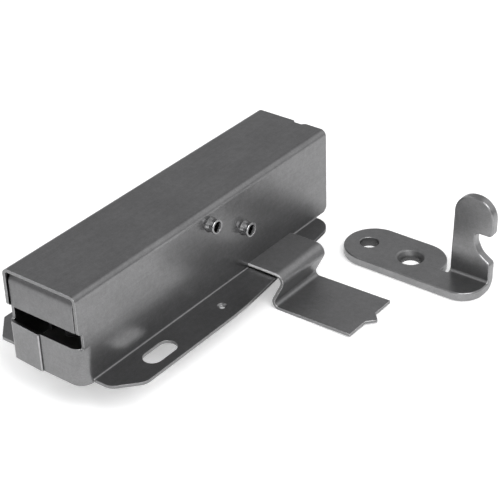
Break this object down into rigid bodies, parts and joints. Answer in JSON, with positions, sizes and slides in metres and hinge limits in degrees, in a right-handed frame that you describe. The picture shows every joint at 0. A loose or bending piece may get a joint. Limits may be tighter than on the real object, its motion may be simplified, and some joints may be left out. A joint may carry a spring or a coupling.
{
  "type": "touch latch",
  "caption": "Folded steel touch latch for a cupboard door, with flanges, a side leaf and a sprung carriage, and its hook strike beside it.",
  "frame": {"origin": "middle of the housing's front edge, in the plane of the flanges' undersides", "axes": "+X to the side with the leaf, +Y from the mouth to the back along the housing, +Z away from the wood"},
  "size_m": [0.0949, 0.1206, 0.038],
  "materials": {
    "zinc_sheet": "satin, zinc plated",
    "zinc_strike": "satin, zinc plated",
    "bright_rivet": "bright plated",
    "bright_steel": "turned and plated",
    "spring_steel": "drawn wire",
    "nylon": "moulded, natural",
    "rubber": "matt"
  },
  "bodies": {
    "frame": {"housing": "zinc_sheet", "base_plate": "zinc_sheet", "strike": "zinc_strike", "front_rivet": "bright_rivet", "rear_rivet": "bright_rivet", "follower_washer": "zinc_sheet", "follower_spring": "spring_steel", "guide_rod": "bright_steel", "rod_clip": "spring_steel", "cam_post": "bright_steel", "main_spring": "spring_steel"},
    "carriage": {"carriage": "zinc_sheet", "cam_block": "nylon", "bumper": "rubber", "front_block_rivet": "bright_rivet", "rear_block_rivet": "bright_rivet", "claw_pin": "bright_steel", "claw_clip": "spring_steel", "rod_bush": "nylon", "claw_spring": "spring_steel"},
    "claw": {"claw": "bright_steel"},
    "follower": {"follower_arm": "bright_steel", "follower_pin": "bright_steel"}
  },
  "joints": [
    {"name": "carriage_slide", "type": "slide", "parent": "frame", "child": "carriage", "axis": [0, 1, 0], "range_m": [0, 0.008], "stiffness_N_per_m": 350, "springref_m": -0.01, "deforming": ["main_spring"]},
    {"name": "claw_turn", "type": "hinge", "parent": "carriage", "child": "claw", "pos_m": [0.0069, 0.0201, 0.014], "axis": [0, 0, 1], "range_deg": [-22, 0], "deforming": ["claw_spring"]},
    {"name": "follower_swing", "type": "hinge", "parent": "frame", "child": "follower", "pos_m": [0.0104, 0.0682, 0.0146], "axis": [1, 0, 0], "range_deg": [0, 18.21]}
  ],
  "couplings": [
    {"joint": "claw_turn", "follows": "carriage_slide", "rad_per_m": -47.995},
    {"joint": "follower_swing", "follows": "carriage_slide", "rad_per_m": 39.726}
  ]
}
